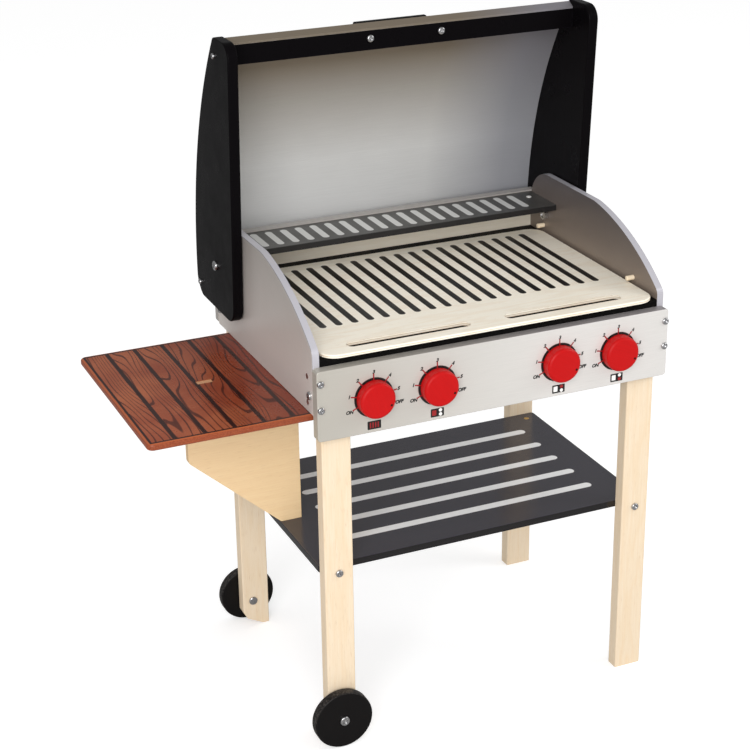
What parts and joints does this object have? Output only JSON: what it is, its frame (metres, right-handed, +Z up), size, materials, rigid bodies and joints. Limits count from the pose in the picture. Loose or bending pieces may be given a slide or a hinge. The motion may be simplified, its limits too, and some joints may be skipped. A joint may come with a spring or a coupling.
{
  "type": "toy barbecue grill",
  "caption": "Wooden toy barbecue on four legs with an opening hood, side table, shelf, reversible board, warming rack, turning knobs and two wheels.",
  "frame": {"origin": "middle of the whole grill's footprint, at floor height, with the hood open", "axes": "+X to the right along the front panel, +Y to the back, +Z up"},
  "size_m": [0.496, 0.2842, 0.6115],
  "materials": {
    "birch": "satin",
    "grey_board": "painted satin",
    "pale_panel": "painted satin",
    "dark_shelf": "painted gloss",
    "red_table": "stained, planks",
    "brushed_sheet": "brushed",
    "black_wood": "painted gloss",
    "red_wood": "painted matt",
    "zinc": "zinc plated",
    "brass": "dull"
  },
  "bodies": {
    "grill": {"front_panel": "pale_panel", "left_side_panel": "grey_board", "right_side_panel": "grey_board", "back_panel": "grey_board", "front_left_leg": "birch", "front_right_leg": "birch", "rear_left_leg": "birch", "rear_right_leg": "birch", "bottom_shelf": "dark_shelf", "side_table": "red_table", "table_bracket": "birch", "warming_rack": "grey_board", "grill_bed": "black_wood", "retaining_pegs": "birch", "front_panel_screws": "zinc", "front_panel_barrel_nuts": "zinc", "leg_bolts": "zinc", "leg_barrel_nuts": "brass", "shelf_bolts": "zinc", "shelf_barrel_nuts": "brass", "rack_bolts": "zinc", "rack_barrel_nuts": "zinc", "back_panel_screws": "zinc", "table_dowels": "birch", "lid_pivot_bolts": "zinc", "lid_pivot_nuts": "zinc", "lid_pivot_washers": "zinc", "axle_bolts": "zinc", "axle_washers": "zinc", "axle_nuts": "zinc"},
    "lid": {"lid_left_board": "black_wood", "lid_right_board": "black_wood", "lid_sheet": "brushed_sheet", "lid_front_bar": "black_wood", "lid_rear_bar": "black_wood", "lid_bar_screws": "zinc", "lid_handle_grip": "black_wood", "lid_handle_posts": "zinc", "lid_handle_screws": "zinc"},
    "board": {"cooking_board": "birch"},
    "knob_1": {"knob_1": "red_wood", "knob_1_bolt": "zinc"},
    "knob_2": {"knob_2": "red_wood", "knob_2_bolt": "zinc"},
    "knob_3": {"knob_3": "red_wood", "knob_3_bolt": "zinc"},
    "knob_4": {"knob_4": "red_wood", "knob_4_bolt": "zinc"},
    "front_wheel": {"front_wheel": "black_wood"},
    "rear_wheel": {"rear_wheel": "black_wood"}
  },
  "joints": [
    {"name": "lid_hinge", "type": "hinge", "parent": "grill", "child": "lid", "pos_m": [0.065, 0.08492, 0.3965], "axis": [1, 0, 0], "range_deg": [0, 81]},
    {"name": "board_slide", "type": "slide", "parent": "grill", "child": "board", "axis": [0, -1, 0], "range_m": [0, 0.1]},
    {"name": "knob_1_turn", "type": "hinge", "parent": "grill", "child": "knob_1", "pos_m": [-0.0535, -0.13108, 0.3383], "axis": [0, 1, 0], "continuous": true},
    {"name": "knob_2_turn", "type": "hinge", "parent": "grill", "child": "knob_2", "pos_m": [0.0057, -0.13108, 0.3383], "axis": [0, 1, 0], "continuous": true},
    {"name": "knob_3_turn", "type": "hinge", "parent": "grill", "child": "knob_3", "pos_m": [0.1243, -0.13108, 0.3383], "axis": [0, 1, 0], "continuous": true},
    {"name": "knob_4_turn", "type": "hinge", "parent": "grill", "child": "knob_4", "pos_m": [0.1835, -0.13108, 0.3383], "axis": [0, 1, 0], "continuous": true},
    {"name": "front_wheel_turn", "type": "hinge", "parent": "grill", "child": "front_wheel", "pos_m": [-0.088, -0.12838, 0.028], "axis": [0, 1, 0], "continuous": true},
    {"name": "rear_wheel_turn", "type": "hinge", "parent": "grill", "child": "rear_wheel", "pos_m": [-0.088, 0.1234, 0.028], "axis": [0, 1, 0], "continuous": true}
  ]
}
